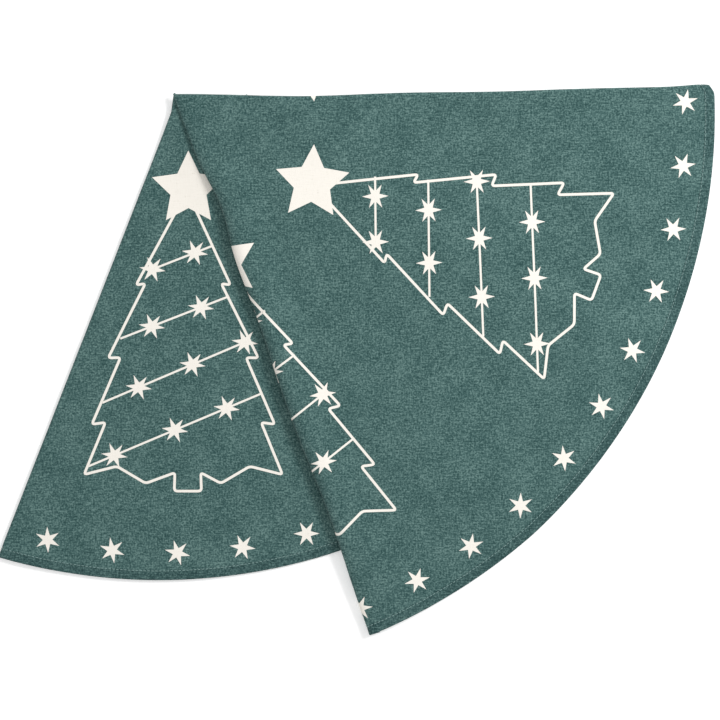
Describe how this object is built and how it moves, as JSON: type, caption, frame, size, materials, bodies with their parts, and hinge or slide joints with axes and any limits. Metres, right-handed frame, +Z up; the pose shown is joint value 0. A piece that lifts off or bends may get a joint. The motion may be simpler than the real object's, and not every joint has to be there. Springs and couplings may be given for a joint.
{
  "type": "tree skirt",
  "caption": "Round Christmas tree skirt in heathered teal cloth with a pale tree and star print, folded flat in layers, with hemmed rim, slit and touch-tape closure.",
  "frame": {"origin": "on the surface that the folded skirt lies on, under the middle of its box", "axes": "+X along the long top fold, from the folded corner towards the right-hand tip; +Y from the rim up to the top fold; +Z up, out of the printed face"},
  "size_m": [0.6274, 0.4842, 0.0102],
  "materials": {
    "cloth": "matt heathered plain weave, face side with cream print",
    "cloth_reverse": "matt heathered plain weave, unprinted reverse side",
    "thread": "polyester sewing thread",
    "hook_tape": "hook side of touch tape",
    "loop_tape": "loop side of touch tape",
    "print": "cream pigment print on the cloth",
    "label": "blank woven label"
  },
  "bodies": {
    "back_left": {"back_left_panel": "cloth_reverse", "back_left_hem": "cloth", "back_left_hem_thread": "thread", "left_slit_hem": "cloth", "left_slit_thread": "thread", "loop_tape_1": "loop_tape", "loop_tape_2": "loop_tape", "loop_tape_3": "loop_tape", "left_fold": "cloth"},
    "left_front": {"left_front_panel": "cloth", "left_front_hem": "cloth", "left_front_hem_thread": "thread", "pleat_fold": "cloth", "pleat_panel": "cloth_reverse", "pleat_hem": "cloth", "pleat_hem_thread": "thread", "centre_hem": "cloth", "centre_hem_thread": "thread", "flap_fold": "cloth"},
    "front": {"front_panel": "cloth", "front_hem": "cloth", "front_hem_thread": "thread", "top_fold": "cloth", "back_right_panel": "cloth_reverse", "back_right_hem": "cloth", "back_right_hem_thread": "thread", "right_slit_hem": "cloth", "right_slit_thread": "thread", "hook_tape_1": "hook_tape", "hook_tape_2": "hook_tape", "hook_tape_3": "hook_tape", "care_label": "label"}
  },
  "joints": [
    {"name": "left_fold_hinge", "type": "hinge", "parent": "back_left", "child": "left_front", "pos_m": [-0.16043, 0.21883, 0.00162], "axis": [-0.3633, -0.9317, 0], "range_deg": [0, 60], "deforming": ["left_fold"]},
    {"name": "flap_fold_hinge", "type": "hinge", "parent": "left_front", "child": "front", "pos_m": [-0.15785, 0.23599, 0.0073], "axis": [0.342, -0.9397, 0], "range_deg": [0, 120], "deforming": ["flap_fold"]}
  ]
}
